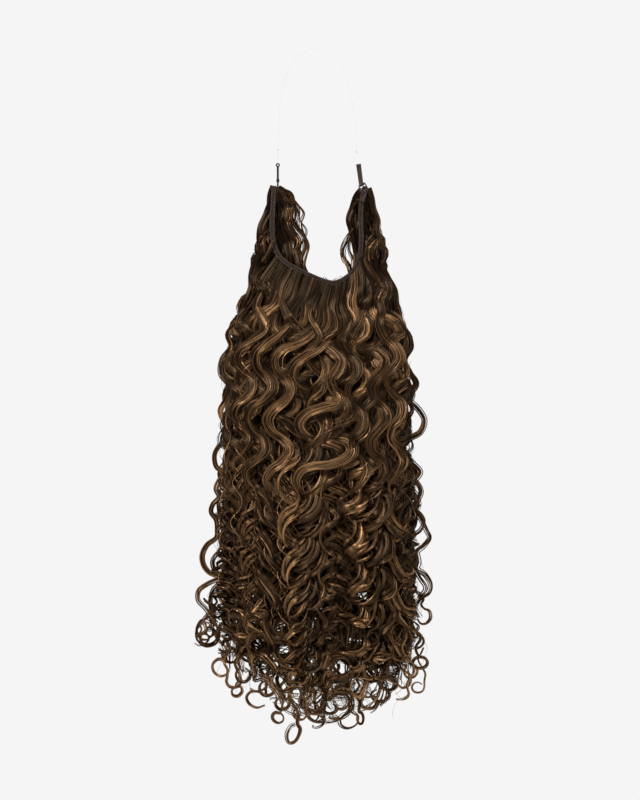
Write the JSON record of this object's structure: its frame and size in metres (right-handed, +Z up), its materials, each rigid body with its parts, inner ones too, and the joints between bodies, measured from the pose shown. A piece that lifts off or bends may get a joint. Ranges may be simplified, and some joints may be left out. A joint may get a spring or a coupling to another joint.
{
  "type": "hair extension",
  "caption": "Curly halo hair extension hanging by its clear wire: locks on a curved sewn band with a thread loop, a strap and a slider.",
  "frame": {"origin": "top of the clear wire's arch, where the piece hangs", "axes": "+Z up along the hanging hair, +X towards the strap and slider, +Y through the piece, away from the viewer"},
  "size_m": [0.2038, 0.0989, 0.6072],
  "materials": {
    "wire": "clear nylon monofilament",
    "thread": "dark brown twisted thread",
    "strap": "brown woven strap",
    "slider": "dark brown coating, satin",
    "band": "dark brown sewn wefts",
    "hair": "glossy curly hair, brown with caramel strands"
  },
  "bodies": {
    "root": {"halo_wire": "wire", "thread_loop": "thread", "strap": "strap", "slider": "slider", "strap_tab": "strap", "weft_band": "band", "hair_left": "hair", "hair_front": "hair", "hair_back": "hair", "hair_right": "hair"}
  },
  "joints": []
}
